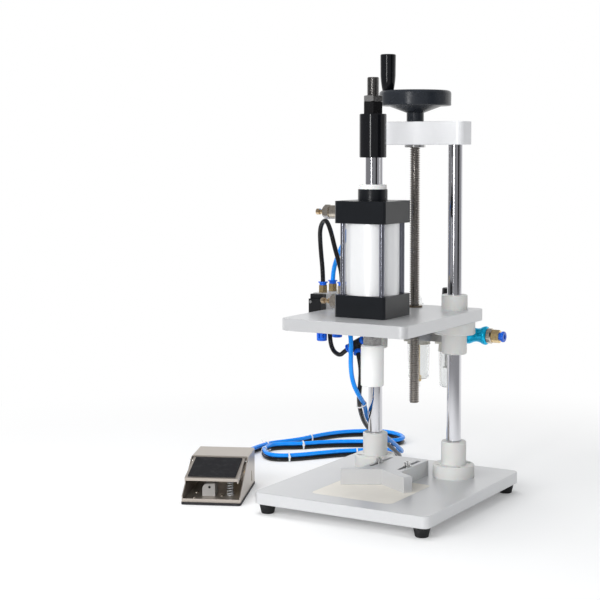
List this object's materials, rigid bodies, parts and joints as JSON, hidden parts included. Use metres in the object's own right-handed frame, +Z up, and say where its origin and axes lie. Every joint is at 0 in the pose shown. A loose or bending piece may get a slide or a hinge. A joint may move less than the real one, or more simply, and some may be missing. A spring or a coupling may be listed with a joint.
{
  "type": "pneumatic capping machine",
  "caption": "Benchtop pneumatic press for crimping caps on bottles: air cylinder on a height-adjustable head plate, handwheel and lead screw, V-block, air unit, foot valve with coiled hoses.",
  "frame": {"origin": "centre line of the capping cylinder on the bottle pad's top, level with the base plate's top", "axes": "+X to the right, +Y to the back, where the columns stand, +Z up along the cylinder"},
  "size_m": [0.58, 0.6952, 0.7686],
  "materials": {
    "machined_aluminium": "satin, fine milled",
    "cream_pad": "matt",
    "foot_rubber": "matt",
    "nylon": "smooth, slightly waxy",
    "steel_screws": "turned",
    "chromed_steel": "polished",
    "bronze": "turned",
    "pedal_sheet": "brushed sheet",
    "rubber_sheet": "matt",
    "grey_valve": "satin",
    "brass": "turned",
    "black_hose": "smooth",
    "blue_hose": "smooth",
    "spring_steel": "zinc plated",
    "black_gloss_plastic": "gloss",
    "dark_screw_steel": "oiled thread",
    "black_anodised": "black anodised",
    "barrel_aluminium": "satin drawn",
    "rod_steel": "threaded, oiled",
    "white_head": "smooth",
    "black_plastic": "moulded",
    "nickel": "nickel plated",
    "blue_plastic": "moulded",
    "cream_plastic": "moulded",
    "clear_plastic": "clear",
    "zinc_sheet": "zinc plated",
    "turquoise_anodised": "anodised"
  },
  "bodies": {
    "machine_base": {"base_plate": "machined_aluminium", "bottle_pad": "cream_pad", "rubber_feet": "foot_rubber", "column_flanges": "nylon", "frame_screws": "steel_screws", "columns": "chromed_steel", "top_beam": "machined_aluminium", "screw_bush": "bronze", "pedal_housing": "pedal_sheet", "pedal_base_pad": "rubber_sheet", "pedal_valve": "grey_valve", "pedal_fittings": "brass", "black_hose_lead": "black_hose", "blue_hose_lead": "blue_hose", "hose_coil": "black_hose", "black_hose_drop": "black_hose", "blue_hose_drop": "blue_hose", "pedal_spring": "spring_steel"},
    "handwheel_and_screw": {"handwheel": "black_gloss_plastic", "lead_screw": "dark_screw_steel", "wheel_fasteners": "steel_screws"},
    "wheel_grip": {"grip": "black_gloss_plastic"},
    "head": {"head_plate": "machined_aluminium", "guide_bushes": "nylon", "bush_rings": "nylon", "plate_screws": "steel_screws", "lead_nut": "bronze", "cylinder_caps": "black_anodised", "cylinder_barrel": "barrel_aluminium", "tie_rods": "chromed_steel", "rod_glands": "black_anodised", "bumper_ring": "nylon", "controller_bodies": "black_plastic", "nickel_fittings": "nickel", "valve_body": "grey_valve", "valve_end_caps": "grey_valve", "brass_fittings": "brass", "fitting_collars": "blue_plastic", "exhaust_silencers": "blue_plastic", "air_unit_bodies": "cream_plastic", "oiler_dome": "clear_plastic", "air_unit_bowls": "clear_plastic", "air_unit_bracket": "zinc_sheet", "tee_fitting": "black_plastic", "head_hoses_black": "black_hose", "head_hoses_blue": "blue_hose"},
    "top_needle": {"needle_top": "nickel"},
    "bottom_needle": {"needle_bottom": "nickel"},
    "regulator": {"regulator_knob": "black_plastic"},
    "slide_valve_sleeve": {"slide_sleeve": "turquoise_anodised"},
    "rod": {"piston_rod": "rod_steel", "piston": "black_anodised", "stop_sleeve": "black_gloss_plastic", "rod_nuts": "rod_steel", "capping_head": "white_head"},
    "bottle_block": {"v_block": "machined_aluminium"},
    "foot_treadle": {"treadle": "pedal_sheet", "tread_rubber": "rubber_sheet"},
    "valve_plunger": {"pedal_plunger": "nickel"}
  },
  "joints": [
    {"name": "handwheel_turn", "type": "hinge", "parent": "machine_base", "child": "handwheel_and_screw", "pos_m": [0, 0.156, 0.655], "axis": [0, 0, 1], "range_deg": [-21615, 9915]},
    {"name": "grip_spin", "type": "hinge", "parent": "handwheel_and_screw", "child": "wheel_grip", "pos_m": [-0.04114, 0.13225, 0.7], "axis": [0, 0, 1], "continuous": true},
    {"name": "head_height", "type": "slide", "parent": "machine_base", "child": "head", "axis": [0, 0, 1], "range_m": [-0.11, 0.24], "deforming": ["black_hose_drop", "blue_hose_drop"]},
    {"name": "rod_stroke", "type": "slide", "parent": "head", "child": "rod", "axis": [0, 0, -1], "range_m": [0, 0.044]},
    {"name": "block_slide", "type": "slide", "parent": "machine_base", "child": "bottle_block", "axis": [0, 1, 0], "range_m": [-0.045, 0.029]},
    {"name": "treadle_press", "type": "hinge", "parent": "machine_base", "child": "foot_treadle", "pos_m": [-0.28733, -0.03068, 0.02], "axis": [0.91, 0.4147, 0], "range_deg": [0, 10], "stiffness_Nm_per_rad": 10, "springref_deg": -5.73, "deforming": ["pedal_spring"]},
    {"name": "plunger_press", "type": "slide", "parent": "machine_base", "child": "valve_plunger", "axis": [0, 0, -1], "range_m": [0, 0.0055]},
    {"name": "regulator_turn", "type": "hinge", "parent": "head", "child": "regulator", "pos_m": [0.039, 0.2207, 0.3], "axis": [0, 0, 1], "range_deg": [-540, 1080]},
    {"name": "sleeve_slide", "type": "slide", "parent": "head", "child": "slide_valve_sleeve", "axis": [-1, 0, 0], "range_m": [0, 0.009]},
    {"name": "needle_top_turn", "type": "hinge", "parent": "head", "child": "top_needle", "pos_m": [-0.09, 0, 0.4615], "axis": [1, 0, 0], "range_deg": [-360, 1080]},
    {"name": "needle_bottom_turn", "type": "hinge", "parent": "head", "child": "bottom_needle", "pos_m": [-0.08, 0, 0.311], "axis": [1, 0, 0], "range_deg": [-360, 1080]}
  ],
  "couplings": [
    {"joint": "handwheel_turn", "follows": "head_height", "rad_per_m": -1570.8},
    {"joint": "plunger_press", "follows": "treadle_press", "m_per_rad": 0.0314}
  ]
}
